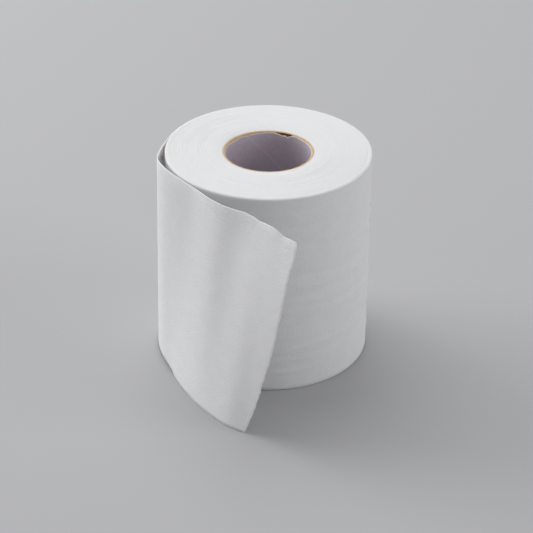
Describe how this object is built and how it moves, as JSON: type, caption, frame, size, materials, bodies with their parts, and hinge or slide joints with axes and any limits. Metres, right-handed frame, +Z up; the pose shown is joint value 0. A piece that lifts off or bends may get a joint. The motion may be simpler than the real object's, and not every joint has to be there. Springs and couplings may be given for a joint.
{
  "type": "toilet paper roll",
  "caption": "Roll of white tissue wound on a cardboard core, standing on end, with its last turn loose as a free tail in front.",
  "frame": {"origin": "centre of the core's bore at the base, on the surface that the roll stands on", "axes": "+Z up the bore's axis; the loose tail leaves the roll on its -X side and reaches out towards -Y"},
  "size_m": [0.104, 0.1363, 0.105],
  "materials": {
    "tissue": "matt, soft, creped",
    "core_board": "matt recycled board"
  },
  "bodies": {
    "root": {"cardboard_core": "core_board", "paper_roll": "tissue"}
  },
  "joints": []
}
